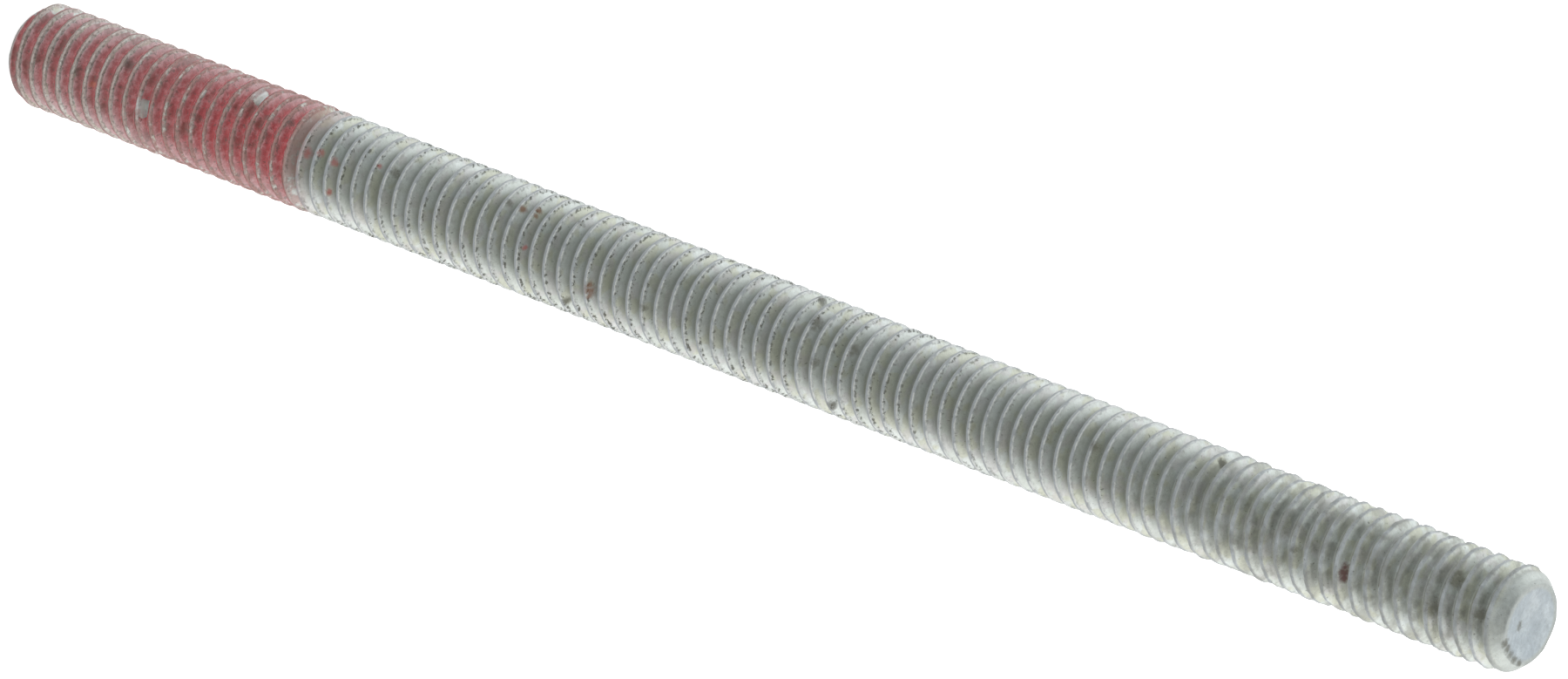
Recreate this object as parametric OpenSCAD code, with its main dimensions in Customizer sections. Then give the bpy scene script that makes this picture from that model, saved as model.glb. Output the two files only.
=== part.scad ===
// Headless screw pin: a straight steel rod threaded from end to end, with a
// chamfer and a shallow dish at both ends, and a dried thread-locking coat
// over one end. It stands on its coated end, with its axis along Z. Its wall
// is the envelope of the thread crests; the fine helix is not cut here.

/* [Thread] */
// Major diameter, over the thread crests
thread_d = 6; // [4:0.5:12]
// Pitch, from one crest to the next
thread_pitch = 1; // [0.5:0.25:1.75]
// Length over both end faces
pin_length = 106; // [40:1:200]

/* [Ends] */
// How far the end chamfer reaches below the thread root
chamfer_relief = 0.09; // [0:0.01:0.3]
// Angle between the chamfer and the pin's axis
chamfer_angle = 40; // [30:1:60]
// Width of the flat rim round the dished middle of an end face
rim_width = 0.5; // [0.2:0.05:0.8]
// Depth of the dish in the middle of an end face
dish_depth = 0.15; // [0.05:0.01:0.3]

/* [Thread lock] */
// Length of the end that carries the dried thread-locking coat
coat_length = 21.5; // [1:0.5:39]

/* [Hidden] */
$fn = 96;

// Depth of a 60 degree rolled thread, from crest to root
thread_depth = 0.6134 * thread_pitch;
crest_r = thread_d / 2;
chamfer_depth = thread_depth + chamfer_relief;
chamfer_length = chamfer_depth / tan(chamfer_angle);
face_r = crest_r - chamfer_depth;
dish_r = face_r - rim_width;
// The dish is the cap of a large sphere
dish_sphere_r = (dish_r * dish_r + dish_depth * dish_depth) / (2 * dish_depth);
// How far a cutting solid runs past what it cuts
overrun = 1;

// Half section of the rod, from the coated end's face up
module pin_section() {
    polygon([
        [0, 0],
        [face_r, 0],
        [crest_r, chamfer_length],
        [crest_r, pin_length - chamfer_length],
        [face_r, pin_length],
        [0, pin_length]
    ]);
}

// The sphere that dishes an end face lying in the plane Z = 0
module dish_cutter() {
    translate([0, 0, dish_depth - dish_sphere_r]) sphere(dish_sphere_r);
}

// The whole rod, with both end faces dished
module rod() {
    difference() {
        rotate_extrude() pin_section();
        dish_cutter();
        translate([0, 0, pin_length]) mirror([0, 0, 1]) dish_cutter();
    }
}

// The stretch under the coat, as a block that splits the rod's two colours
module coated_stretch() {
    translate([0, 0, -overrun])
        cylinder(r = crest_r + overrun, h = coat_length + overrun);
}

// One piece of steel in two colours: the coated end and the bare thread
module screw_pin() {
    color("palevioletred") intersection() {
        rod();
        coated_stretch();
    }
    color("silver") difference() {
        rod();
        coated_stretch();
    }
}

screw_pin();
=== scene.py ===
import math
import bpy
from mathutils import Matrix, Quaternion, Vector


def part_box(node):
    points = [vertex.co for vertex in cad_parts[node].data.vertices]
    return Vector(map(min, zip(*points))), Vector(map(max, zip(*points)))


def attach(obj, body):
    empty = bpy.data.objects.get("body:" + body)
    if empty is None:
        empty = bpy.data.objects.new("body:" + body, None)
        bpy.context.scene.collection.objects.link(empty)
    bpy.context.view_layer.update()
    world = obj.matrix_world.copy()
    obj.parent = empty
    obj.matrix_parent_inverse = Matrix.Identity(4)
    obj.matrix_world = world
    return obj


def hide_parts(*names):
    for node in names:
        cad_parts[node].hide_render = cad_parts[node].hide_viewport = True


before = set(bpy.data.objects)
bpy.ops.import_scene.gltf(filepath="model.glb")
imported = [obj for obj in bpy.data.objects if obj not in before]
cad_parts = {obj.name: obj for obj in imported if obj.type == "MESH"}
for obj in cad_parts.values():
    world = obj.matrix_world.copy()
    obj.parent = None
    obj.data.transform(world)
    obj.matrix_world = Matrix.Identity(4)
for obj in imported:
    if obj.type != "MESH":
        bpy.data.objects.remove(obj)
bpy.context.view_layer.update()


# ---------------------------------------------------------------- studio
# A white floor that metal sees brighter behind the pin, under a pale dome that
# dims overhead, with a soft box behind the pin on each side. The camera looks
# down on the standing pin through a long lens and is rolled over on its side.
MM = 0.001
scene = bpy.context.scene
scene.view_settings.view_transform = "Standard"

camera_distance = 852 * MM
camera_elevation = math.radians(34.9)
camera_roll = math.radians(111.02)
camera_lens_mm = 360.7
camera_aim = Vector((0.09, 0, 54.97)) * MM

camera = bpy.data.objects.new("camera", bpy.data.cameras.new("camera"))
scene.collection.objects.link(camera)
towards_camera = Vector((0, -math.cos(camera_elevation), math.sin(camera_elevation)))
camera.location = camera_aim + camera_distance * towards_camera
level_view = (-towards_camera).to_track_quat("-Z", "Y")
camera.rotation_mode = "QUATERNION"
camera.rotation_quaternion = level_view @ Quaternion((0, 0, 1), camera_roll)
camera.data.lens = camera_lens_mm
camera.data.sensor_width = 36
camera.data.clip_start = 0.01
scene.camera = camera


def add_node(tree, kind, sockets=None, **settings):
    """Adds a node, sets its properties, and fills or wires the inputs in sockets."""
    made = tree.nodes.new(kind)
    for name, value in settings.items():
        setattr(made, name, value)
    for key, value in (sockets or {}).items():
        if isinstance(value, bpy.types.NodeSocket):
            tree.links.new(value, made.inputs[key])
        else:
            made.inputs[key].default_value = value
    return made


def calc(tree, operation, *values):
    """The result of one Math node whose inputs are numbers or sockets."""
    made = add_node(tree, "ShaderNodeMath", dict(enumerate(values)), operation=operation)
    return made.outputs[0]


def ramp(tree, value, start, end, low=0.0, high=1.0):
    """A smooth step from low to high as value goes from start to end."""
    made = add_node(tree, "ShaderNodeMapRange", {
        "Value": value, "From Min": start, "From Max": end, "To Min": low, "To Max": high},
        interpolation_type="SMOOTHSTEP")
    return made.outputs[0]


# the numbers of a Mix node's sockets when it mixes colours
mix_factor, mix_first, mix_second, mix_result = 0, 6, 7, 2


def blend_colours(tree, factor, first, second, blend_type="MIX"):
    """The colour of one Mix node. A colour may be a tuple of three numbers or a socket."""
    made = add_node(tree, "ShaderNodeMix", data_type="RGBA", blend_type=blend_type)
    for place, value in ((mix_factor, factor), (mix_first, first), (mix_second, second)):
        if isinstance(value, bpy.types.NodeSocket):
            tree.links.new(value, made.inputs[place])
        else:
            made.inputs[place].default_value = value if place == mix_factor else (*value, 1)
    return made.outputs[mix_result]


def new_material(name):
    """An empty node material with its output node."""
    material = bpy.data.materials.new(name)
    material.use_nodes = True
    material.node_tree.nodes.clear()
    output = add_node(material.node_tree, "ShaderNodeOutputMaterial")
    return material, material.node_tree, output


floor_half = 3.0
floor_white = 0.8
floor_glow = 0.75
metal_glow_in_front = 0.04
metal_glow_behind = 0.55
metal_glow_grows = (-60 * MM, 20 * MM)
floor_mesh = bpy.data.meshes.new("floor")
floor_corners = [(-floor_half, -floor_half, 0), (floor_half, -floor_half, 0),
                 (floor_half, floor_half, 0), (-floor_half, floor_half, 0)]
floor_mesh.from_pydata(floor_corners, [], [(0, 1, 2, 3)])
floor = bpy.data.objects.new("floor", floor_mesh)
scene.collection.objects.link(floor)

floor_paint, tree, output = new_material("floor_paint")
path = add_node(tree, "ShaderNodeLightPath")
seen = calc(tree, "MAXIMUM", path.outputs["Is Camera Ray"], path.outputs["Is Transmission Ray"])
shown = calc(tree, "MULTIPLY", seen, floor_glow)
floor_place = add_node(tree, "ShaderNodeTexCoord").outputs["Object"]
floor_place = add_node(tree, "ShaderNodeSeparateXYZ", {0: floor_place})
in_metal = ramp(
    tree, floor_place.outputs["Y"], *metal_glow_grows, metal_glow_in_front, metal_glow_behind)
shown = calc(tree, "MULTIPLY_ADD", path.outputs["Is Glossy Ray"], in_metal, shown)
matt = add_node(tree, "ShaderNodeBsdfDiffuse", {"Color": (floor_white,) * 3 + (1,)})
glow = add_node(tree, "ShaderNodeEmission", {"Color": (1, 1, 1, 1), "Strength": shown})
lit = add_node(tree, "ShaderNodeAddShader", {0: matt.outputs[0], 1: glow.outputs[0]})
tree.links.new(lit.outputs[0], output.inputs["Surface"])
floor_mesh.materials.append(floor_paint)

dome_light = 0.82
dome_ends = 0.45
ceiling_light = 0.27
ceiling_starts = 0.98
cool_white = (0.95, 1.0, 1.0)
warm_white = (1.0, 1.0, 0.95)
tint_reach = 0.6
world = bpy.data.worlds.new("studio")
world.use_nodes = True
scene.world = world
tree = world.node_tree
tree.nodes.clear()
path = add_node(tree, "ShaderNodeLightPath")
direction = add_node(tree, "ShaderNodeTexCoord").outputs["Generated"]
direction = add_node(tree, "ShaderNodeSeparateXYZ", {0: direction})
strength = add_node(tree, "ShaderNodeMapRange", {
    "Value": direction.outputs["Z"], "From Min": dome_ends, "From Max": ceiling_starts,
    "To Min": dome_light, "To Max": ceiling_light}).outputs[0]
strength = add_node(tree, "ShaderNodeMix", {
    "Factor": path.outputs["Is Camera Ray"], "A": strength, "B": 1.0}, data_type="FLOAT").outputs[0]
rightwards = ramp(tree, direction.outputs["X"], -tint_reach, tint_reach)
tint = blend_colours(tree, rightwards, cool_white, warm_white)
tint = blend_colours(tree, path.outputs["Is Camera Ray"], tint, (1, 1, 1))
glow = add_node(tree, "ShaderNodeBackground", {"Color": tint, "Strength": strength})
add_node(tree, "ShaderNodeOutputWorld", {"Surface": glow.outputs[0]})


def soft_box(name, place, size, radiance):
    """A square lamp that faces the pin and that the camera doesn't see."""
    lamp = bpy.data.lights.new(name, "AREA")
    lamp.size = size
    lamp.energy = radiance * math.pi * size * size
    box = bpy.data.objects.new(name, lamp)
    box.location = place
    box.rotation_mode = "QUATERNION"
    box.rotation_quaternion = (camera_aim - box.location).to_track_quat("-Z", "Y")
    box.visible_camera = False
    scene.collection.objects.link(box)


soft_box("left_soft_box", Vector((-0.48, 0.36, 0.42)), size=0.8, radiance=1.05)
soft_box("right_soft_box", Vector((0.47, 0.30, 0.46)), size=0.8, radiance=1.28)


# ---------------------------------------------------------------- screw pin
# One rolled steel rod with an M6 x 1 right-hand thread from end to end,
# zinc-plated. Rolling leaves flat crests whose two lips meet in a pitted seam.
# Grime and painted shade darken the roots, a painted highlight runs along each lip, and a few stains, rust
# spots and a painted shadow at the end face's rim lie on the plating.
pin_low, pin_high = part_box("screw_pin")
pin_length = pin_high.z - pin_low.z
crest_radius = (pin_high.x - pin_low.x) / 2

thread_pitch = 1.0 * MM
thread_start_angle = math.radians(178.2)
wear_start = 76 * MM
worn_from = 90 * MM

# lengths are in metres, and places across the thread in pitches: the crest's middle lies at
# Crest Shift from the line that the helix follows, and its lip at Lip Edge from the middle
thread_sizes = {
    "Pitch": thread_pitch,
    "Length": pin_length,
    "Crest Radius": crest_radius,
    "Crest Truncation": 0.18 * thread_pitch,
    "Crest Shift": -0.11,
    "Root Radius": crest_radius - 0.6134 * thread_pitch,
    "Flank Slope": math.tan(math.radians(60)),
    "Crest Rounding": 0.06 * MM,
    "Root Rounding": 0.12 * MM,
    "Runout": 0.55 * MM,
    "Runout Start": 1.05 * MM,
    "Face Radius": 2.297 * MM,
    "Chamfer Slope": math.tan(math.radians(40)),
    "Start Angle": thread_start_angle,
    "Lip Edge": 0.10,
    "Lip Width": 0.04,
    "Lip Fades From": 0.05,
    "Lip Fades By": 0.32,
    "Lip Step": 0.010 * MM,
    "Seam Offset": 0.03,
    "Seam Half Width": 0.035,
    "Seam Depth": 0.028 * MM,
    "Open Seam Scale": 1.7 / MM,
    "Knock Scale": 0.9 / MM,
    "Crest Wear": 0.17 * MM,
    "Wear Start": wear_start,
    "Worn From": worn_from,
}
dish_radius = 1.797 * MM
dish_depth = 0.15 * MM
pin_steps_per_turn = 64
pin_strips = 14
pin_bunching = 0.75
face_turns = 1.2
spare_turns = 0.5 + face_turns + 0.05
weld_distance = 1e-6
pin_map_columns = 3
map_margin = 0.002


def noise(tree, vector, scale, detail=2.0, roughness=0.5, kind="3D"):
    """The value of a noise texture, with scale in lumps per metre."""
    made = add_node(tree, "ShaderNodeTexNoise", {
        "Vector": vector, "Scale": scale, "Detail": detail, "Roughness": roughness},
        noise_dimensions=kind)
    return made.outputs[0]


def between(tree, value, start, end):
    """A mask that comes in over the pair of values in start and goes out over the pair in end."""
    return calc(tree, "MULTIPLY", ramp(tree, value, *start), ramp(tree, value, *end))


def start_tree(name, sizes):
    """A geometry tree with a named input for each size, the counts and the material, and its grid.

    share runs from 0 to 1 along the grid, and the last value from -0.5 to 0.5 across it.
    """
    tree = bpy.data.node_groups.new(name, "GeometryNodeTree")
    for size in sizes:
        tree.interface.new_socket(size, in_out="INPUT", socket_type="NodeSocketFloat")
    for count in ("Columns", "Rows", "Map Columns", "Map Rows"):
        tree.interface.new_socket(count, in_out="INPUT", socket_type="NodeSocketInt")
    tree.interface.new_socket("Material", in_out="INPUT", socket_type="NodeSocketMaterial")
    tree.interface.new_socket("Geometry", in_out="OUTPUT", socket_type="NodeSocketGeometry")
    given = add_node(tree, "NodeGroupInput").outputs
    grid = add_node(tree, "GeometryNodeMeshGrid", {
        "Size X": 1.0, "Size Y": 1.0, "Vertices X": given["Columns"], "Vertices Y": given["Rows"]})
    spot = add_node(tree, "GeometryNodeInputPosition").outputs[0]
    spot = add_node(tree, "ShaderNodeSeparateXYZ", {0: spot}).outputs
    share = calc(tree, "ADD", spot["X"], 0.5)
    return tree, given, grid.outputs["Mesh"], share, spot["Y"]


def round_axis(tree, radius, angle, height):
    """The point at a radius and an angle round the axis, and at a height."""
    return add_node(tree, "ShaderNodeCombineXYZ", {
        "X": calc(tree, "MULTIPLY", radius, calc(tree, "COSINE", angle)),
        "Y": calc(tree, "MULTIPLY", radius, calc(tree, "SINE", angle)),
        "Z": height}).outputs[0]


def chamfer_cone(tree, given, from_end):
    """The radius that the chamfer leaves at a distance from the end face."""
    inwards = calc(tree, "MAXIMUM", from_end, 0.0)
    return calc(tree, "MULTIPLY_ADD", inwards, given["Chamfer Slope"], given["Face Radius"])


def wind_thread(tree, given, turn, across):
    """The rolled and worn thread at one point of its helix.

    turn counts along the helix, and across counts pitches from the line it follows, by the lip.
    Gives the angle, height and radius, how far the nearer end is, and the place at crest height.
    """
    angle = calc(tree, "MULTIPLY_ADD", turn, math.tau, given["Start Angle"])
    height = calc(tree, "MULTIPLY", given["Pitch"], calc(tree, "ADD", turn, across))
    worn_end = ramp(tree, height, given["Wear Start"], given["Worn From"])
    off_crest = calc(tree, "SUBTRACT", across, given["Crest Shift"])
    off_crest = calc(tree, "SUBTRACT", off_crest, calc(tree, "ROUND", off_crest))
    side = calc(tree, "MULTIPLY", calc(tree, "ABSOLUTE", off_crest), given["Pitch"])
    sharp_crest = calc(tree, "ADD", given["Crest Radius"], given["Crest Truncation"])
    flank = calc(tree, "SUBTRACT", sharp_crest, calc(tree, "MULTIPLY", side, given["Flank Slope"]))

    # the crest is knocked down in places, and blunter towards the bare end
    place = round_axis(tree, given["Crest Radius"], angle, height)
    knocks = noise(tree, place, given["Knock Scale"], detail=4.0, roughness=0.65)
    knocks = ramp(tree, knocks, 0.35, 0.7)
    worn_share = calc(tree, "MULTIPLY_ADD", worn_end, 0.85, 0.15)
    wear = calc(tree, "MULTIPLY", given["Crest Wear"], worn_share)
    crest = calc(tree, "SUBTRACT", given["Crest Radius"], calc(tree, "MULTIPLY", wear, knocks))
    blunter = calc(tree, "MULTIPLY_ADD", worn_end, 2.0, 1.0)
    blunt = calc(tree, "MULTIPLY", given["Crest Rounding"], blunter)
    radius = calc(tree, "SMOOTH_MIN", flank, crest, blunt)
    radius = calc(tree, "SMOOTH_MAX", radius, given["Root Radius"], given["Root Rounding"])

    # one rolled lip stands a little proud of the other, and here and there their seam is open
    sharp = calc(tree, "MULTIPLY_ADD", worn_end, -0.8, 1.0)
    past_lip = calc(tree, "SUBTRACT", off_crest, given["Lip Edge"])
    step = between(
        tree, past_lip, (0.0, given["Lip Width"]), (given["Lip Fades By"], given["Lip Fades From"]))
    step = calc(tree, "MULTIPLY", step, given["Lip Step"])
    seam = calc(tree, "ABSOLUTE", calc(tree, "SUBTRACT", past_lip, given["Seam Offset"]))
    seam = calc(tree, "DIVIDE", seam, given["Seam Half Width"])
    seam = calc(tree, "MAXIMUM", calc(tree, "SUBTRACT", 1.0, seam), 0.0)
    open_seam = noise(tree, place, given["Open Seam Scale"], detail=2.0, roughness=0.6)
    open_seam = ramp(tree, open_seam, 0.4, 0.62)
    seam = calc(tree, "MULTIPLY", calc(tree, "MULTIPLY", seam, open_seam), given["Seam Depth"])
    lowered = calc(tree, "MULTIPLY", calc(tree, "ADD", step, seam), sharp)
    radius = calc(tree, "SUBTRACT", radius, lowered)

    # the last groove runs out just short of the bare end
    to_bare_end = calc(tree, "SUBTRACT", given["Length"], height)
    runout = ramp(tree, to_bare_end, given["Runout Start"], given["Runout"])
    crest_gap = calc(tree, "SUBTRACT", calc(tree, "SUBTRACT", given["Crest Radius"], wear), radius)
    radius = calc(tree, "MULTIPLY_ADD", crest_gap, runout, radius)

    # a chamfer cuts the thread down to each end face
    from_end = calc(tree, "MINIMUM", height, to_bare_end)
    cone = chamfer_cone(tree, given, from_end)
    radius = calc(tree, "SMOOTH_MIN", radius, cone, calc(tree, "MULTIPLY", given["Crest Rounding"], 2.0))
    return angle, height, radius, from_end, place


def place_points(tree, mesh, angle, radius, height):
    """Moves a grid's points to their angle and radius round the axis and their height."""
    point = round_axis(tree, radius, angle, height)
    return add_node(tree, "GeometryNodeSetPosition", {"Geometry": mesh, "Position": point}).outputs[0]


def map_turns(tree, given, mesh, turn, share_across):
    """Lays the turns side by side as rows of a map, in one or more columns."""
    middle = add_node(tree, "GeometryNodeFieldOnDomain", {0: turn}, data_type="FLOAT", domain="FACE")
    whole = calc(tree, "FLOOR", middle.outputs[0])
    column = calc(tree, "FLOOR", calc(tree, "DIVIDE", whole, given["Map Rows"]))
    row = calc(tree, "SUBTRACT", whole, calc(tree, "MULTIPLY", column, given["Map Rows"]))
    along = calc(tree, "SUBTRACT", turn, whole)
    along = calc(tree, "MULTIPLY_ADD", along, 1 - 2 * map_margin, map_margin)
    spot = add_node(tree, "ShaderNodeCombineXYZ", {
        "X": calc(tree, "DIVIDE", calc(tree, "ADD", column, along), given["Map Columns"]),
        "Y": calc(tree, "DIVIDE", calc(tree, "ADD", row, share_across), given["Map Rows"])})
    mapped = add_node(tree, "GeometryNodeStoreNamedAttribute", {
        "Geometry": mesh, "Name": "OFBake", "Value": spot.outputs[0]},
        data_type="FLOAT2", domain="CORNER")
    return mapped.outputs[0]


def finish_tree(tree, given, mesh):
    """Shades the mesh smooth, makes it real and gives it its material."""
    smooth = add_node(tree, "GeometryNodeSetShadeSmooth", {"Geometry": mesh})
    real = add_node(tree, "GeometryNodeRealizeInstances", {"Geometry": smooth.outputs[0]})
    painted = add_node(tree, "GeometryNodeSetMaterial", {
        "Geometry": real.outputs[0], "Material": given["Material"]})
    add_node(tree, "NodeGroupOutput", {"Geometry": painted.outputs[0]})


def rod_tree(sizes):
    """Node tree that winds a grid round the axis as one closed threaded rod."""
    tree, given, mesh, share, even = start_tree("threaded_rod", sizes)
    turns = calc(tree, "ADD", calc(tree, "DIVIDE", given["Length"], given["Pitch"]),
                 calc(tree, "MULTIPLY", given["Spare Turns"], 2.0))
    counted = calc(tree, "MULTIPLY", share, turns)
    turn = calc(tree, "SUBTRACT", counted, given["Spare Turns"])

    # the strips bunch up at the crest and at the root, where the thread turns sharply
    bunching = calc(tree, "SINE", calc(tree, "MULTIPLY", even, 2 * math.tau))
    bunching = calc(tree, "DIVIDE", calc(tree, "MULTIPLY", bunching, given["Bunching"]), 2 * math.tau)
    across = calc(tree, "SUBTRACT", even, bunching)
    angle, height, radius, from_end, _ = wind_thread(tree, given, turn, across)

    # past an end face the turns close over it, down into its shallow dish
    beyond = calc(tree, "DIVIDE", calc(tree, "MINIMUM", from_end, 0.0),
                  calc(tree, "MULTIPLY", given["Face Turns"], given["Pitch"]))
    closing = calc(tree, "MAXIMUM", calc(tree, "ADD", beyond, 1.0), 0.0)
    radius = calc(tree, "MULTIPLY", radius, closing)
    dish = calc(tree, "DIVIDE", radius, given["Dish Radius"])
    dish = calc(tree, "MAXIMUM", calc(tree, "SUBTRACT", 1.0, calc(tree, "MULTIPLY", dish, dish)), 0.0)
    dish = calc(tree, "MULTIPLY", dish, given["Dish Depth"])
    middle = calc(tree, "MULTIPLY", given["Length"], 0.5)
    inwards = calc(tree, "SIGN", calc(tree, "SUBTRACT", middle, height))
    level = calc(tree, "MAXIMUM", calc(tree, "MINIMUM", height, given["Length"]), 0.0)
    level = calc(tree, "MULTIPLY_ADD", dish, inwards, level)

    mesh = map_turns(tree, given, mesh, counted, calc(tree, "ADD", even, 0.5))
    mesh = place_points(tree, mesh, angle, radius, level)
    mesh = add_node(tree, "GeometryNodeMergeByDistance", {
        "Geometry": mesh, "Distance": weld_distance}).outputs[0]
    finish_tree(tree, given, mesh)
    return tree


def build_mesh(name, node_tree, values):
    """The plain mesh that a geometry tree makes with the given input values."""
    blank = bpy.data.objects.new(name + "_blank", bpy.data.meshes.new(name + "_blank"))
    scene.collection.objects.link(blank)
    modifier = blank.modifiers.new("shape", "NODES")
    modifier.node_group = node_tree
    for socket in node_tree.interface.items_tree:
        if socket.in_out == "INPUT":
            modifier[socket.identifier] = values[socket.name]
    depsgraph = bpy.context.evaluated_depsgraph_get()
    mesh = bpy.data.meshes.new_from_object(
        blank.evaluated_get(depsgraph), preserve_all_data_layers=True, depsgraph=depsgraph)
    mesh.name = name
    mesh.materials.clear()
    mesh.materials.append(values["Material"])
    bpy.data.objects.remove(blank)
    return mesh


def start_group(name, inputs, outputs):
    """An empty shader node group with named inputs and outputs."""
    group = bpy.data.node_groups.new(name, "ShaderNodeTree")
    for socket, kind in inputs.items():
        group.interface.new_socket(socket, in_out="INPUT", socket_type="NodeSocket" + kind)
    for socket, kind in outputs.items():
        group.interface.new_socket(socket, in_out="OUTPUT", socket_type="NodeSocket" + kind)
    return group, add_node(group, "NodeGroupInput").outputs


def use_group(tree, group, sockets):
    """The outputs of one copy of a shader node group."""
    return add_node(tree, "ShaderNodeGroup", sockets, node_tree=group).outputs


# where a point lies: pitches past the lip, metres along and across the helix, up and out
helix_place, given = start_group(
    "helix_place", {"Position": "Vector", "Pitch": "Float", "Radius": "Float", "Start Angle": "Float"},
    {"Past Lip": "Float", "Unrolled": "Vector", "Height": "Float", "Reach": "Float"})
spot = add_node(helix_place, "ShaderNodeSeparateXYZ", {0: given["Position"]}).outputs
turned = calc(helix_place, "ARCTAN2", spot["Y"], spot["X"])
turned = calc(helix_place, "SUBTRACT", turned, given["Start Angle"])
turned = calc(helix_place, "DIVIDE", turned, math.tau)
climbed = calc(helix_place, "SUBTRACT", calc(helix_place, "DIVIDE", spot["Z"], given["Pitch"]), turned)
whole = calc(helix_place, "ROUND", climbed)
past_lip = calc(helix_place, "SUBTRACT", climbed, whole)
along = calc(helix_place, "MULTIPLY", calc(helix_place, "ADD", whole, turned), given["Radius"])
unrolled = add_node(helix_place, "ShaderNodeCombineXYZ", {
    "X": calc(helix_place, "MULTIPLY", along, math.tau),
    "Y": calc(helix_place, "MULTIPLY", past_lip, given["Pitch"])}).outputs[0]
reach = add_node(helix_place, "ShaderNodeCombineXYZ", {"X": spot["X"], "Y": spot["Y"]}).outputs[0]
reach = add_node(helix_place, "ShaderNodeVectorMath", {0: reach}, operation="LENGTH").outputs["Value"]
add_node(helix_place, "NodeGroupOutput", {
    "Past Lip": past_lip, "Unrolled": unrolled, "Height": spot["Z"], "Reach": reach})

# small marks drawn out along the thread, scarcer as Rarity grows
mark_softness = 0.09
marks, given = start_group(
    "marks", {"Unrolled": "Vector", "Length": "Float", "Width": "Float", "Rarity": "Float"},
    {"Mask": "Float"})
per_mark = add_node(marks, "ShaderNodeCombineXYZ", {
    "X": calc(marks, "DIVIDE", 1.0, given["Length"]),
    "Y": calc(marks, "DIVIDE", 1.0, given["Width"])}).outputs[0]
spread = add_node(marks, "ShaderNodeVectorMath", {
    0: given["Unrolled"], 1: per_mark}, operation="MULTIPLY").outputs[0]
cover = noise(marks, spread, 1.0, detail=2.0, roughness=0.55, kind="2D")
mask = ramp(marks, cover, given["Rarity"], calc(marks, "ADD", given["Rarity"], mark_softness))
add_node(marks, "NodeGroupOutput", {"Mask": mask})

# a ragged stain round one point
stain, given = start_group(
    "stain", {"Position": "Vector", "Centre": "Vector", "Size": "Float", "Ragged": "Float"},
    {"Mask": "Float"})
reach = add_node(stain, "ShaderNodeVectorMath", {
    0: given["Position"], 1: given["Centre"]}, operation="DISTANCE").outputs["Value"]
reach = calc(stain, "DIVIDE", reach, given["Size"])
ragged = noise(stain, given["Position"], 3.0 / MM, detail=4.0, roughness=0.75)
ragged = calc(stain, "MULTIPLY", given["Ragged"], calc(stain, "SUBTRACT", ragged, 0.5))
reach = calc(stain, "ADD", reach, ragged)
add_node(stain, "NodeGroupOutput", {"Mask": ramp(stain, reach, 1.25, 0.2)})


def swing(tree, value, amount, middle):
    """A middle value that swings by amount as a noise value goes from 0 to 1."""
    return calc(tree, "MULTIPLY_ADD", calc(tree, "SUBTRACT", value, 0.5), amount, middle)


# a fine grain over a coarser mottle, put out as a shade for the colour and as relief
grained, given = start_group("grained", {
    "Position": "Vector", "Mottle Scale": "Float", "Grain Scale": "Float", "Mottle Shade": "Float",
    "Grain Shade": "Float", "Mottle Relief": "Float", "Grain Relief": "Float"}, {
    "Mottle": "Float", "Shade": "Color", "Relief": "Float"})
mottle = noise(grained, given["Position"], given["Mottle Scale"], detail=4.0, roughness=0.65)
grain = noise(grained, given["Position"], given["Grain Scale"], detail=2.0, roughness=0.6)
shade = swing(grained, mottle, given["Mottle Shade"], 1.0)
shade = swing(grained, grain, given["Grain Shade"], shade)
shade_colour = add_node(grained, "ShaderNodeCombineColor", {0: shade, 1: shade, 2: shade}).outputs[0]
relief = calc(grained, "MULTIPLY", grain, given["Grain Relief"])
relief = calc(grained, "MULTIPLY_ADD", mottle, given["Mottle Relief"], relief)
add_node(grained, "NodeGroupOutput", {"Mottle": mottle, "Shade": shade_colour, "Relief": relief})


def band(tree, value, middle, outer, inner):
    """A mask that is whole within inner of a middle value and gone by outer."""
    away = calc(tree, "ABSOLUTE", calc(tree, "SUBTRACT", value, middle))
    return ramp(tree, away, outer, inner)


def on_thread(height_mm, degrees, depth_mm=0.2):
    """The point at a height and a bearing, a little inside the crests."""
    radius = crest_radius - depth_mm * MM
    bearing = math.radians(degrees)
    return Vector((radius * math.cos(bearing), radius * math.sin(bearing), height_mm * MM))


def stain_mask(tree, position, places):
    """The mask of stains, each a height in mm, a bearing, a size in mm and perhaps a depth in mm."""
    mask = 0.0
    for height_mm, degrees, size_mm, *depth_mm in places:
        one = use_group(tree, stain, {
            "Position": position, "Centre": on_thread(height_mm, degrees, *depth_mm),
            "Size": size_mm * MM, "Ragged": 2.0})
        mask = calc(tree, "MAXIMUM", one["Mask"], mask)
    return mask


zinc_colour = (0.58, 0.61, 0.60)
dull_zinc_colour = (0.49, 0.52, 0.49)
olive_colour = (0.46, 0.465, 0.36)
mauve_colour = (0.50, 0.49, 0.495)
land_colour = (0.37, 0.395, 0.415)
worn_land_colour = (0.36, 0.385, 0.40)
dirty_land_colour = (0.42, 0.39, 0.36)
lip_highlight_colour = (0.95, 0.96, 0.92)
root_grime_and_shade_colour = (0.20, 0.215, 0.20)
face_colour = (0.58, 0.63, 0.665)
dull_face_colour = (0.49, 0.54, 0.58)
rim_colour = (0.53, 0.56, 0.55)
chamfer_colour = (0.43, 0.46, 0.45)
smudge_colour = (0.27, 0.275, 0.25)
rubbed_colour = (0.62, 0.66, 0.69)
pit_colour = (0.075, 0.075, 0.055)
grime_and_rim_shadow_colour = (0.11, 0.105, 0.075)
rust_colour = (0.22, 0.10, 0.05)
maroon_colour = (0.12, 0.045, 0.04)
fleck_colour = (0.42, 0.07, 0.06)
residue_colour = (0.42, 0.23, 0.215)
coated_dirt_colour = (0.15, 0.13, 0.11)
flaked_colour = (0.74, 0.77, 0.79)

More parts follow.
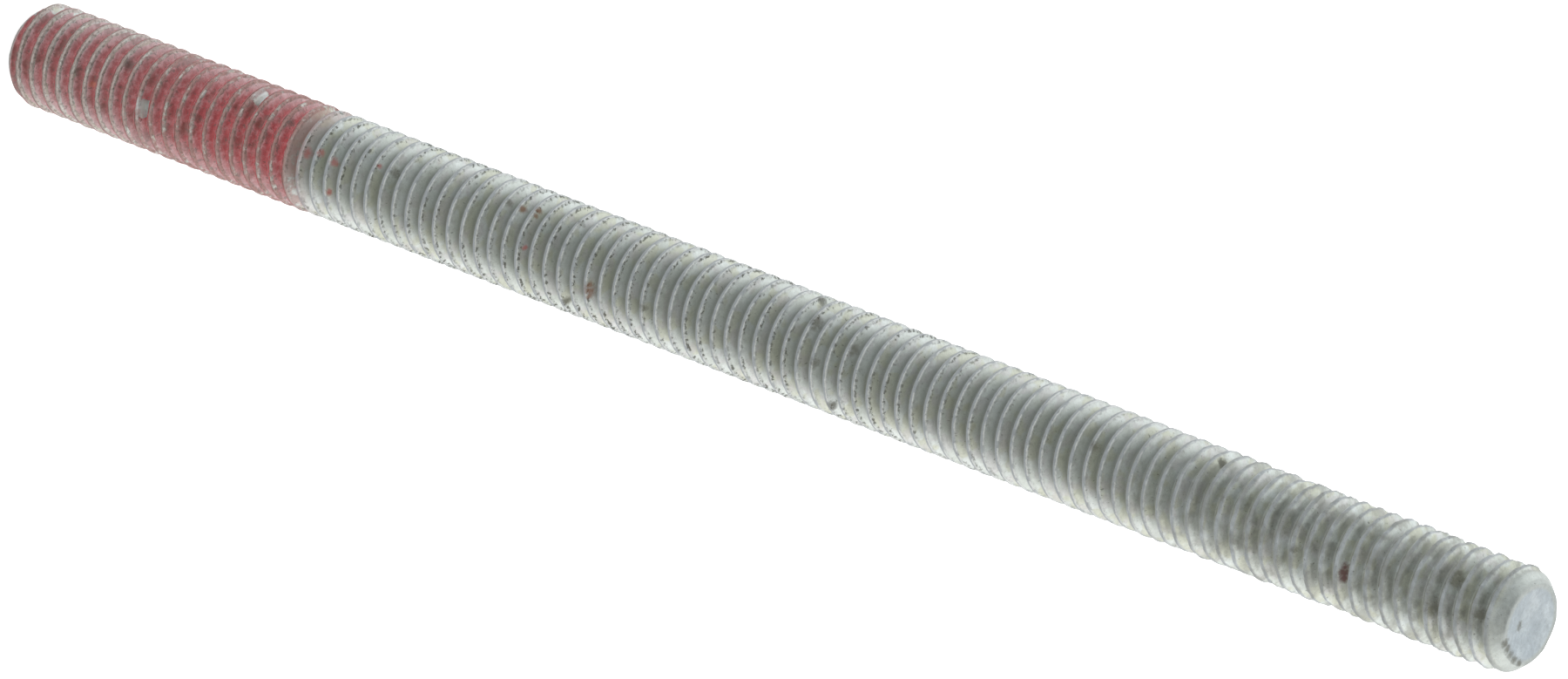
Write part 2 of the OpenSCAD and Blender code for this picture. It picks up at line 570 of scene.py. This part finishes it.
# places across the thread, in pitches past the lip: a pair runs from where a mask is gone to
# where it is whole
land_starts = (-0.28, -0.20)
land_ends = (0.05, 0.0)
lip_line = -0.02
seam_line = 0.035
root_starts = (0.28, 0.48)
land_middle = -0.07

# places along the pin, and on its end faces out from the axis
coat_edge = 21.3 * MM
coat_fades = (coat_edge + 0.5 * MM, coat_edge - 0.3 * MM)
residue_starts = (coat_edge - 0.6 * MM, coat_edge - 0.1 * MM)
residue_ends = (coat_edge + 1.6 * MM, coat_edge + 0.4 * MM)
film_thickens = (7 * MM, 12 * MM)
pits_thin_out = (58 * MM, 84 * MM)
thread_starts = (0.3 * MM, 0.9 * MM)
face_edge = (2.38 * MM, 2.12 * MM)
dish_edge = (2.12 * MM, 1.88 * MM)

# stains: height in mm, bearing in degrees, size in mm and, if not 0.2, depth in mm below the crests
flaked_spots = [(10.6, -72, 0.75, 0.3), (17.35, -139, 0.75, 0.3), (13.3, 62, 0.7, 0.35),
                (4.5, 118, 0.6, 0.35)]
grime_spots = [(36.2, -121, 0.28), (41.1, -130, 0.26), (47.25, -65, 0.32), (47.1, -71, 0.2),
               (57.1, -157, 0.4), (58.3, -121, 0.42), (58.4, -113, 0.26), (59.3, -77, 0.32),
               (59.25, -71, 0.2), (60.4, -31, 0.38), (41.5, -31, 0.3), (85.4, -145, 0.4, 0.4),
               (102.4, -107, 0.55, 0.3), (102.3, -115, 0.3, 0.3), (101.6, -67, 0.5, 0.4),
               (104.5, -80, 0.45, 0.4), (78.2, -100, 0.35), (87.0, -98, 0.3, 0.3),
               (92.3, -75, 0.3, 0.3), (28.4, -107, 0.32, 0.35), (61.35, -107, 0.36, 0.27),
               (61.3, -101, 0.22, 0.27), (70.0, 65, 0.4), (49.0, 120, 0.35)]
rust_spots = [(37.3, -121, 0.28), (38.2, -126, 0.24), (38.3, -119, 0.18), (43.4, -60, 0.34),
              (43.4, -66, 0.28), (43.4, -54, 0.24), (66.0, 100, 0.35), (90.0, 40, 0.3)]
maroon_spots = [(95.58, -62, 0.34, 0.4), (95.6, -68, 0.40, 0.4), (95.56, -75, 0.30, 0.4)]
red_flecks = [(38.5, -79, 0.2, 0.3), (22.4, -92, 0.34, 0.3), (23.3, -97, 0.26), (24.4, -93, 0.3, 0.25),
              (24.5, -57, 0.26), (27.3, -107, 0.16), (23.5, 70, 0.3), (25.2, 110, 0.2)]
top_mm = pin_length / MM
# on the end face: one stain, then a row of dark spots that paint a shadow along part of the face's rim
face_stain_and_rim_shadow_spots = [(top_mm - 0.1, -70, 0.30, 2.16), (top_mm, -50, 0.3, 0.85), (top_mm, -38, 0.3, 0.95),
              (top_mm, -24, 0.3, 1.0), (top_mm, -8, 0.3, 1.0), (top_mm, 8, 0.28, 0.9)]

zinc, tree, output = new_material("zinc_plating")
position = add_node(tree, "ShaderNodeTexCoord").outputs["Object"]
helix = use_group(tree, helix_place, {
    "Position": position, "Pitch": thread_pitch, "Radius": crest_radius,
    "Start Angle": thread_start_angle})
past_lip, unrolled, height = helix["Past Lip"], helix["Unrolled"], helix["Height"]
worn = ramp(tree, height, wear_start, worn_from)
end_gap = calc(tree, "MINIMUM", height, calc(tree, "SUBTRACT", pin_length, height))
on_face = ramp(tree, helix["Reach"], *face_edge)
threaded = calc(tree, "SUBTRACT", 1.0, on_face)
threaded = calc(tree, "MULTIPLY", threaded, ramp(tree, end_gap, *thread_starts))
coated = ramp(tree, height, *coat_fades)

# the plating is cloudy, with olive and mauve patches drawn out along the thread
clouds = noise(tree, position, 0.45 / MM, detail=4.0, roughness=0.6)
texture = use_group(tree, grained, {
    "Position": position, "Mottle Scale": 3.5 / MM, "Grain Scale": 16 / MM, "Mottle Shade": 0.6,
    "Grain Shade": 0.3, "Mottle Relief": 0.8, "Grain Relief": 0.5})
mottle = texture["Mottle"]
olive = use_group(tree, marks, {
    "Unrolled": unrolled, "Length": 2.2 * MM, "Width": 0.8 * MM, "Rarity": 0.50})["Mask"]
elsewhere = (90 * MM, 30 * MM, 0.0)
shifted = add_node(tree, "ShaderNodeVectorMath", {
    0: unrolled, 1: elsewhere}, operation="ADD").outputs[0]
mauve = use_group(tree, marks, {
    "Unrolled": shifted, "Length": 1.5 * MM, "Width": 0.6 * MM, "Rarity": 0.54})["Mask"]
cloudy = calc(tree, "MAXIMUM", ramp(tree, clouds, 0.35, 0.68), calc(tree, "MULTIPLY", worn, 0.7))
colour = blend_colours(tree, cloudy, zinc_colour, dull_zinc_colour)
patchy = calc(tree, "MULTIPLY_ADD", threaded, 0.45, 0.1)
colour = blend_colours(tree, calc(tree, "MULTIPLY", olive, patchy), colour, olive_colour)
colour = blend_colours(tree, calc(tree, "MULTIPLY", mauve, patchy), colour, mauve_colour)

# the crest is a darker blue-grey land that ends in a painted highlight, a bright line along the seam
wobble = calc(tree, "MULTIPLY", calc(tree, "SUBTRACT", mottle, 0.5), 0.10)
ragged_lip = calc(tree, "ADD", past_lip, wobble)
land = between(tree, past_lip, land_starts, land_ends)
land_tint = blend_colours(tree, coated, land_colour, dirty_land_colour)
land_tint = blend_colours(tree, worn, land_tint, worn_land_colour)
colour = blend_colours(tree, calc(tree, "MULTIPLY", land, threaded), colour, land_tint)
# painted highlight: a near-white, broken line along each lip, fading towards the worn end
lip_highlight = band(tree, ragged_lip, lip_line, 0.06, 0.02)
unbroken = use_group(tree, marks, {
    "Unrolled": unrolled, "Length": 0.9 * MM, "Width": 0.5 * MM, "Rarity": 0.40})["Mask"]
lip_highlight = calc(tree, "MULTIPLY", lip_highlight, calc(tree, "MULTIPLY_ADD", unbroken, 0.38, 0.09))
lip_highlight = calc(tree, "MULTIPLY", lip_highlight, threaded)
lip_highlight = calc(tree, "MULTIPLY", lip_highlight, calc(tree, "MULTIPLY_ADD", worn, -0.85, 1.0))
colour = blend_colours(tree, lip_highlight, colour, lip_highlight_colour)

# the roots are darkened partly by grime and partly by painted shade, and the worn end is smudged with
# rubbed places between
side = calc(tree, "ABSOLUTE", calc(tree, "SUBTRACT", past_lip, thread_sizes["Crest Shift"]))
depth = swing(tree, mottle, 0.12, side)
root = calc(tree, "MULTIPLY", ramp(tree, depth, *root_starts), threaded)
# painted shade in the roots, mixed with grime, less of it towards the worn end
root_grime_and_shade = calc(tree, "MULTIPLY", root, calc(tree, "MULTIPLY_ADD", worn, -0.35, 0.8))
colour = blend_colours(tree, root_grime_and_shade, colour, root_grime_and_shade_colour)
blotches = noise(tree, position, 0.8 / MM, detail=4.0, roughness=0.6)
worn_thread = calc(tree, "MULTIPLY", worn, threaded)
smudge = calc(tree, "MULTIPLY", ramp(tree, blotches, 0.44, 0.62), worn_thread)
smudge = calc(tree, "MULTIPLY", smudge, calc(tree, "MULTIPLY_ADD", root, -0.4, 0.65))
colour = blend_colours(tree, smudge, colour, smudge_colour)
rubbed = calc(tree, "MULTIPLY", ramp(tree, blotches, 0.46, 0.34), calc(tree, "MULTIPLY", worn, 0.35))
colour = blend_colours(tree, rubbed, colour, rubbed_colour)

# the chamfer is duller than the end face, which is bluest in its dish
face_tint = blend_colours(tree, ramp(tree, blotches, 0.40, 0.60), face_colour, dull_face_colour)
chamfered = calc(tree, "MULTIPLY", calc(tree, "SUBTRACT", 1.0, threaded), 0.7)
colour = blend_colours(tree, chamfered, colour, chamfer_colour)
colour = blend_colours(tree, on_face, colour, rim_colour)
dished = calc(tree, "MULTIPLY", ramp(tree, helix["Reach"], *dish_edge), on_face)
colour = blend_colours(tree, dished, colour, face_tint)
colour = blend_colours(tree, 1.0, colour, texture["Shade"], "MULTIPLY")

# dirty pits along the seam over a faint painted shade all along it, thick up to two thirds of the length,
# and a few anywhere
along_seam = band(tree, ragged_lip, seam_line, 0.07, 0.03)
seam_pits = use_group(tree, marks, {
    "Unrolled": unrolled, "Length": 0.22 * MM, "Width": 0.10 * MM, "Rarity": 0.52})["Mask"]
pitted_length = ramp(tree, height, *pits_thin_out, 1.0, 0.15)
pitted_patch = noise(tree, position, 0.4 / MM, detail=2.0)
pitted_patch = ramp(tree, pitted_patch, 0.36, 0.6, 0.2, 1.0)
seam_dirt_and_shade = calc(tree, "MULTIPLY", along_seam, calc(tree, "MULTIPLY", pitted_length, pitted_patch))
# the small constant adds a faint painted shade all along the seam; the marks are the pits
pits_and_seam_shade = calc(tree, "MULTIPLY", seam_dirt_and_shade, calc(tree, "MULTIPLY_ADD", seam_pits, 0.70, 0.07))
loose_pits = use_group(tree, marks, {
    "Unrolled": unrolled, "Length": 0.20 * MM, "Width": 0.16 * MM, "Rarity": 0.70})["Mask"]
pits_and_seam_shade = calc(tree, "MAXIMUM", pits_and_seam_shade, calc(tree, "MULTIPLY", loose_pits, 0.5))
pits_and_seam_shade = calc(tree, "MULTIPLY", pits_and_seam_shade, calc(tree, "SUBTRACT", 1.0, on_face))

# the crests between the coated grooves keep a thin red-brown film and specks of dirt
crest_dirt = use_group(tree, marks, {
    "Unrolled": unrolled, "Length": 0.20 * MM, "Width": 0.10 * MM, "Rarity": 0.53})["Mask"]
on_land = band(tree, past_lip, land_middle, 0.20, 0.14)
coated_land = calc(tree, "MULTIPLY", coated, on_land)
crest_dirt = calc(tree, "MULTIPLY", crest_dirt, coated_land)
residue = noise(tree, position, 1.5 / MM, detail=4.0, roughness=0.7)
residue = ramp(tree, residue, 0.34, 0.50)
film = calc(tree, "MULTIPLY", residue, coated_land)
film = calc(tree, "MULTIPLY", film, ramp(tree, height, *film_thickens, 0.35, 0.95))
past_coat = calc(tree, "MULTIPLY", residue, between(tree, height, residue_starts, residue_ends))
film = calc(tree, "MAXIMUM", film, calc(tree, "MULTIPLY", past_coat, 0.6))
colour = blend_colours(tree, film, colour, residue_colour)
colour = blend_colours(tree, calc(tree, "MULTIPLY", crest_dirt, 0.5), colour, coated_dirt_colour)
pits_and_seam_shade = calc(tree, "MULTIPLY", pits_and_seam_shade, calc(tree, "MULTIPLY_ADD", coated, -0.75, 1.0))
flaked = stain_mask(tree, position, flaked_spots)
colour = blend_colours(tree, calc(tree, "MULTIPLY", flaked, 0.5), colour, flaked_colour)
colour = blend_colours(tree, pits_and_seam_shade, colour, pit_colour)

# single stains lie over everything else, and dark spots at the end face's rim paint a shadow there
grime_and_rim_shadow = stain_mask(tree, position, grime_spots + face_stain_and_rim_shadow_spots)
rust = stain_mask(tree, position, rust_spots)
maroon = stain_mask(tree, position, maroon_spots)
flecks = stain_mask(tree, position, red_flecks)
colour = blend_colours(tree, calc(tree, "MULTIPLY", grime_and_rim_shadow, 0.7), colour, grime_and_rim_shadow_colour)
colour = blend_colours(tree, calc(tree, "MULTIPLY", rust, 0.8), colour, rust_colour)
colour = blend_colours(tree, calc(tree, "MULTIPLY", maroon, 0.9), colour, maroon_colour)
colour = blend_colours(tree, calc(tree, "MULTIPLY", flecks, 0.7), colour, fleck_colour)

# dirt and the flat lands are less metallic than the clean plating
dirty = calc(tree, "MAXIMUM", calc(tree, "MAXIMUM", pits_and_seam_shade, grime_and_rim_shadow), calc(tree, "MAXIMUM", rust, flecks))
dirty = calc(tree, "MAXIMUM", dirty, calc(tree, "MAXIMUM", maroon, calc(tree, "MULTIPLY", film, 0.5)))
metallic = calc(tree, "MULTIPLY_ADD", dirty, -0.8, 0.85)
metallic = calc(tree, "MULTIPLY", metallic, calc(tree, "MULTIPLY_ADD", land, -0.6, 1.0))
dullness = calc(tree, "MULTIPLY_ADD", mottle, 0.2, 0.38)
dullness = calc(tree, "MULTIPLY_ADD", dirty, 0.25, dullness)
relief = calc(tree, "MULTIPLY_ADD", pits_and_seam_shade, -1.2, texture["Relief"])
bump = add_node(tree, "ShaderNodeBump", {
    "Strength": 0.5, "Distance": 0.02 * MM, "Height": relief}).outputs[0]
skin = add_node(tree, "ShaderNodeBsdfPrincipled", {
    "Base Color": colour, "Metallic": metallic, "Roughness": dullness, "Normal": bump})
tree.links.new(skin.outputs[0], output.inputs["Surface"])

pin_turns = pin_length / thread_pitch + 2 * spare_turns
pin_sizes = dict(thread_sizes)
pin_sizes.update({
    "Dish Radius": dish_radius, "Dish Depth": dish_depth, "Spare Turns": spare_turns,
    "Face Turns": face_turns, "Bunching": pin_bunching})
pin_tree = rod_tree(pin_sizes)
pin_sizes.update({
    "Columns": round(pin_turns * pin_steps_per_turn) + 1, "Rows": pin_strips + 1,
    "Map Columns": pin_map_columns, "Map Rows": math.ceil(pin_turns / pin_map_columns),
    "Material": zinc})
pin_mesh = build_mesh("threaded_pin", pin_tree, pin_sizes)
pin = bpy.data.objects.new("threaded_pin", pin_mesh)
scene.collection.objects.link(pin)
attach(pin, "root")
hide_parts("screw_pin")


# ---------------------------------------------------------------- thread-lock coat
# A patch of dried red thread-locking coat over the first 21 turns. It fills
# the grooves as a shallow hollow, has rubbed off the crests, and has flaked
# away here and there, at the tip and along its ragged edge.
coat_turns = 22.5
coat_steps_per_turn = 150
coat_strips = 30
coat_sizes = dict(thread_sizes)
coat_sizes.update({
    "Turns": coat_turns,
    "Fill": 0.17 * MM,
    "Fill Rounding": 0.30 * MM,
    "Film": 0.035 * MM,
    "Lump Scale": 1.4 / MM,
    "Lumps": 0.05 * MM,
    "Fine Lump Scale": 5.0 / MM,
    "Fine Lump Share": 0.6,
    "Bare Crest": 0.09,
    "Bare Crest Shift": -0.045,
    "First Turns Bare": 0.025,
    "First Turns Start": 3 * MM,
    "First Turns End": 12 * MM,
    "Ragged Crest": 0.16,
    "Fine Ragged Crest": 0.10,
    "Start Height": 0.35 * MM,
    "Edge Height": 21.12 * MM,
    "Edge Tilt": 0.083,
    "Ragged Edge": 0.8 * MM,
    "Ragged Patch": 0.7 * MM,
    "Whole Inside": 0.06 * MM,
    "Tucked Outside": -0.03 * MM,
    "Gone Outside": -0.05 * MM,
    "Tuck": 0.03 * MM,
})

# flaked patches: height in mm, bearing in degrees and size in mm
bare_patches = [(10.6, -72, 0.62), (17.35, -139, 0.62), (0.9, -158, 0.8), (2.4, -172, 0.6),
                (13.4, 62, 0.6), (4.6, 118, 0.5)]
patch_squeeze = (1.0, 1.0, 1.7)


def coat_tree(sizes):
    """Node tree for the coat: a grid wound from crest to crest, cut away where it is bare."""
    tree, given, mesh, share, even = start_tree("thread_coat", sizes)
    turn = calc(tree, "MULTIPLY", share, given["Turns"])
    across = calc(tree, "ADD", even, 0.5)
    angle, height, radius, from_end, place = wind_thread(tree, given, turn, across)

    # the coat's own surface: a film on the flanks and a filled root, with lumps
    lumps = noise(tree, place, given["Lump Scale"], detail=4.0, roughness=0.6)
    lumps = calc(tree, "SUBTRACT", lumps, 0.5)
    fine = noise(tree, place, given["Fine Lump Scale"], detail=3.0, roughness=0.6)
    fine = calc(tree, "SUBTRACT", fine, 0.5)
    filled = calc(tree, "ADD", given["Root Radius"], given["Fill"])
    coated = calc(tree, "ADD", radius, given["Film"])
    coated = calc(tree, "SMOOTH_MAX", coated, filled, given["Fill Rounding"])
    coated = calc(tree, "MULTIPLY_ADD", lumps, given["Lumps"], coated)
    fine_lumps = calc(tree, "MULTIPLY", given["Lumps"], given["Fine Lump Share"])
    coated = calc(tree, "MULTIPLY_ADD", fine, fine_lumps, coated)

    # how far inside the coat's outline a point is: below 0 the surface is bare
    past_lip = calc(tree, "SUBTRACT", across, calc(tree, "ROUND", across))
    off_bare = calc(tree, "ABSOLUTE", calc(tree, "SUBTRACT", past_lip, given["Bare Crest Shift"]))
    first_turns = ramp(
        tree, height, given["First Turns Start"], given["First Turns End"], given["First Turns Bare"], 0.0)
    bare_half = calc(tree, "ADD", given["Bare Crest"], first_turns)
    bare_half = calc(tree, "MULTIPLY_ADD", lumps, given["Ragged Crest"], bare_half)
    bare_half = calc(tree, "MULTIPLY_ADD", fine, given["Fine Ragged Crest"], bare_half)
    inside = calc(tree, "MULTIPLY", calc(tree, "SUBTRACT", off_bare, bare_half), given["Pitch"])
    spot = add_node(tree, "ShaderNodeSeparateXYZ", {0: place}).outputs
    edge = calc(tree, "MULTIPLY_ADD", spot["X"], given["Edge Tilt"], given["Edge Height"])
    edge = calc(tree, "MULTIPLY_ADD", lumps, given["Ragged Edge"], edge)
    inside = calc(tree, "MINIMUM", inside, calc(tree, "SUBTRACT", edge, height))
    begun = calc(tree, "SUBTRACT", height, given["Start Height"])
    begun = calc(tree, "MULTIPLY_ADD", lumps, given["Ragged Edge"], begun)
    inside = calc(tree, "MINIMUM", inside, begun)
    for height_mm, degrees, size_mm in bare_patches:
        centre = on_thread(height_mm, degrees, depth_mm=0.0)
        away = add_node(tree, "ShaderNodeVectorMath", {
            0: place, 1: centre}, operation="SUBTRACT").outputs[0]
        away = add_node(tree, "ShaderNodeVectorMath", {
            0: away, 1: patch_squeeze}, operation="MULTIPLY").outputs[0]
        away = add_node(tree, "ShaderNodeVectorMath", {0: away}, operation="LENGTH").outputs["Value"]
        away = calc(tree, "SUBTRACT", away, size_mm * MM)
        away = calc(tree, "MULTIPLY_ADD", lumps, given["Ragged Patch"], away)
        inside = calc(tree, "MINIMUM", inside, away)

    # towards its outline the coat thins and dives just under the plating
    whole_coat = ramp(tree, inside, given["Tucked Outside"], given["Whole Inside"])
    tucked = calc(tree, "SUBTRACT", radius, given["Tuck"])
    surface = calc(tree, "MULTIPLY_ADD", calc(tree, "SUBTRACT", coated, tucked), whole_coat, tucked)
    surface = calc(tree, "MINIMUM", surface, chamfer_cone(tree, given, from_end))
    gone = add_node(tree, "FunctionNodeCompare", {
        0: inside, 1: given["Gone Outside"]}, data_type="FLOAT", operation="LESS_THAN").outputs[0]
    mesh = map_turns(tree, given, mesh, turn, calc(tree, "ADD", even, 0.5))
    mesh = add_node(tree, "GeometryNodeDeleteGeometry", {
        "Geometry": mesh, "Selection": gone}, domain="FACE").outputs[0]
    mesh = place_points(tree, mesh, angle, surface, height)
    finish_tree(tree, given, mesh)
    return tree


coat_colour = (0.42, 0.060, 0.066)
bright_coat_colour = (0.50, 0.036, 0.046)
shaded_coat_colour = (0.29, 0.02, 0.025)
brown_coat_colour = (0.20, 0.065, 0.05)
# a pale pink used both for dust and for painted side light
dust_and_side_light_colour = (0.54, 0.33, 0.345)
orange_coat_colour = (0.60, 0.17, 0.07)
coat_dirt_colour = (0.13, 0.085, 0.07)
violet_white = (1.0, 0.95, 1.0, 1.0)

# places across the thread, in pitches past the lip
behind_crest_starts = (0.0, 0.06)
behind_crest_ends = (0.34, 0.08)
shade_under_crest_starts = (-0.14, -0.22)
bare_middle = -0.085

# places along the pin, and out from its axis to either side
coat_brightens = (9 * MM, 17 * MM)
dust_thins_out = (7 * MM, 11 * MM)
side_light_reach = (1.4 * MM, 3.0 * MM)
orange_spots = [(6.7, -77, 0.34), (15.6, -104, 0.14), (5.2, 95, 0.3)]
brown_spots = [(8.5, -115, 0.5), (17.7, -147, 0.32), (20.2, -118, 0.4), (5.3, -85, 0.45),
               (12.2, -60, 0.3), (14.6, -84, 0.3), (19.2, -92, 0.35), (12.0, 100, 0.5)]

dried_coat, tree, output = new_material("dried_coat")
position = add_node(tree, "ShaderNodeTexCoord").outputs["Object"]
helix = use_group(tree, helix_place, {
    "Position": position, "Pitch": thread_pitch, "Radius": crest_radius,
    "Start Angle": thread_start_angle})
past_lip, unrolled, height = helix["Past Lip"], helix["Unrolled"], helix["Height"]
clouds = noise(tree, position, 0.55 / MM, detail=4.0, roughness=0.65)
texture = use_group(tree, grained, {
    "Position": position, "Mottle Scale": 2.6 / MM, "Grain Scale": 12 / MM, "Mottle Shade": 1.0,
    "Grain Shade": 0.6, "Mottle Relief": 0.7, "Grain Relief": 0.4})
mottle = texture["Mottle"]
colour = blend_colours(tree, ramp(tree, height, *coat_brightens), coat_colour, bright_coat_colour)

# it is dusty where it lies thin on the flank behind a crest and full red down in the groove; painted side
# light makes its two sides paler, and painted shade darkens it under each crest
behind_crest = between(tree, past_lip, behind_crest_starts, behind_crest_ends)
dusty_end = ramp(tree, height, *dust_thins_out, 0.8, 0.42)
dust_and_side_light = calc(tree, "MULTIPLY", behind_crest, dusty_end)
dust_and_side_light = calc(tree, "MULTIPLY_ADD", ramp(tree, mottle, 0.42, 0.66), 0.35, dust_and_side_light)
# painted side light: the coat is painted paler on its two sides, out from the axis along x
sideways = add_node(tree, "ShaderNodeSeparateXYZ", {0: position}).outputs["X"]
painted_side_light = ramp(tree, calc(tree, "ABSOLUTE", sideways), *side_light_reach)
dust_and_side_light = calc(tree, "MULTIPLY_ADD", painted_side_light, 0.3, dust_and_side_light)
dust_and_side_light = calc(tree, "MINIMUM", dust_and_side_light, 1.0)
colour = blend_colours(tree, dust_and_side_light, colour, dust_and_side_light_colour)
# painted shade: the coat is darkened on the lower flank under each crest
shade_under_crest = ramp(tree, past_lip, *shade_under_crest_starts)
colour = blend_colours(tree, calc(tree, "MULTIPLY", shade_under_crest, 0.6), colour, shaded_coat_colour)
browned = calc(tree, "MULTIPLY", ramp(tree, clouds, 0.50, 0.66), 0.75)
colour = blend_colours(tree, browned, colour, brown_coat_colour)
colour = blend_colours(tree, 1.0, colour, texture["Shade"], "MULTIPLY")

# specks of dirt stick to it, most of all beside the bare crests
dirt = use_group(tree, marks, {
    "Unrolled": unrolled, "Length": 0.3 * MM, "Width": 0.2 * MM, "Rarity": 0.62})["Mask"]
crest_dirt = use_group(tree, marks, {
    "Unrolled": unrolled, "Length": 0.4 * MM, "Width": 0.16 * MM, "Rarity": 0.50})["Mask"]
by_crest = band(tree, past_lip, bare_middle, 0.21, 0.14)
dirt = calc(tree, "MAXIMUM", dirt, calc(tree, "MULTIPLY", crest_dirt, by_crest))
orange = stain_mask(tree, position, orange_spots)
brown = stain_mask(tree, position, brown_spots)
colour = blend_colours(tree, calc(tree, "MULTIPLY", orange, 0.85), colour, orange_coat_colour)
colour = blend_colours(tree, calc(tree, "MULTIPLY", brown, 0.8), colour, coat_dirt_colour)
colour = blend_colours(tree, calc(tree, "MULTIPLY", dirt, 0.6), colour, coat_dirt_colour)
dullness = calc(tree, "MULTIPLY_ADD", mottle, 0.3, 0.3)
bump = add_node(tree, "ShaderNodeBump", {
    "Strength": 0.7, "Distance": 0.03 * MM, "Height": texture["Relief"]}).outputs[0]
skin = add_node(tree, "ShaderNodeBsdfPrincipled", {
    "Base Color": colour, "Roughness": dullness, "Normal": bump,
    "Coat Weight": 0.7, "Coat Roughness": 0.25,
    "Sheen Weight": 1.0, "Sheen Roughness": 0.35, "Sheen Tint": violet_white})
tree.links.new(skin.outputs[0], output.inputs["Surface"])

coat_nodes = coat_tree(coat_sizes)
coat_sizes.update({
    "Columns": round(coat_turns * coat_steps_per_turn) + 1, "Rows": coat_strips + 1,
    "Map Columns": 1, "Map Rows": math.ceil(coat_turns), "Material": dried_coat})
coat_mesh = build_mesh("thread_lock_coat", coat_nodes, coat_sizes)
coat = bpy.data.objects.new("thread_lock_coat", coat_mesh)
scene.collection.objects.link(coat)
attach(coat, "root")
